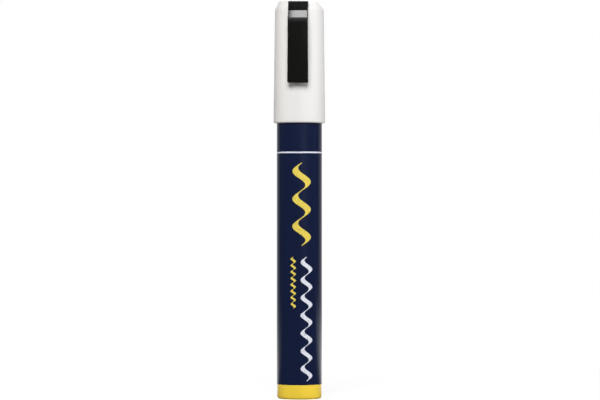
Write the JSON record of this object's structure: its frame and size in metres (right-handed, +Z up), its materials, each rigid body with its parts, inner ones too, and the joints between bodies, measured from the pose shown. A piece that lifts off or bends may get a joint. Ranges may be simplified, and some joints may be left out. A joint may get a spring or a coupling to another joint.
{
  "type": "liquid chalk marker",
  "caption": "Round liquid chalk marker with a pull-off cap, a flexing pocket clip, a chisel nib that opens a spring valve when pressed, loose mixing balls and a coloured end plug.",
  "frame": {"origin": "the middle of the end plug's flat foot, on the barrel's axis", "axes": "+Z up the barrel towards the cap, -Y towards the pocket clip"},
  "size_m": [0.0182, 0.0214, 0.14],
  "materials": {
    "barrel_navy": "glossy navy, printed",
    "plug_yellow": "satin yellow",
    "nose_white": "satin off-white",
    "nib_fibre": "pressed fibre, stained with ink",
    "seat_rubber": "soft matte black",
    "valve_plastic": "natural moulded plastic",
    "plunger_plastic": "natural moulded plastic",
    "spring_steel": "drawn wire",
    "cap_white": "satin white",
    "liner_plastic": "natural moulded plastic",
    "clip_black": "glossy black",
    "ball_steel": "polished"
  },
  "bodies": {
    "barrel": {"barrel": "barrel_navy", "end_plug": "plug_yellow", "nose_section": "nose_white", "valve_seat": "seat_rubber", "valve_housing": "valve_plastic", "valve_spring": "spring_steel", "valve_cage": "valve_plastic"},
    "nib": {"nib": "nib_fibre", "valve_plunger": "plunger_plastic"},
    "cap": {"cap_shell": "cap_white", "inner_cap": "liner_plastic"},
    "clip": {"pocket_clip": "clip_black"},
    "ball_left": {"mixing_ball_left": "ball_steel"},
    "ball_right": {"mixing_ball_right": "ball_steel"}
  },
  "joints": [
    {"name": "cap_pull", "type": "slide", "parent": "barrel", "child": "cap", "axis": [0, 0, 1], "range_m": [0, 0.045]},
    {"name": "clip_flex", "type": "hinge", "parent": "cap", "child": "clip", "pos_m": [0, -0.0066, 0.1369], "axis": [-1, 0, 0], "range_deg": [0, 6], "stiffness_Nm_per_rad": 0.6},
    {"name": "nib_press", "type": "slide", "parent": "barrel", "child": "nib", "axis": [0, 0, -1], "range_m": [0, 0.0025], "stiffness_N_per_m": 800, "springref_m": -0.002, "deforming": ["valve_spring"]},
    {"name": "ball_left_roll", "type": "slide", "parent": "barrel", "child": "ball_left", "axis": [0, 0, 1], "range_m": [0, 0.075]},
    {"name": "ball_right_roll", "type": "slide", "parent": "barrel", "child": "ball_right", "axis": [0, 0, 1], "range_m": [0, 0.075]}
  ]
}
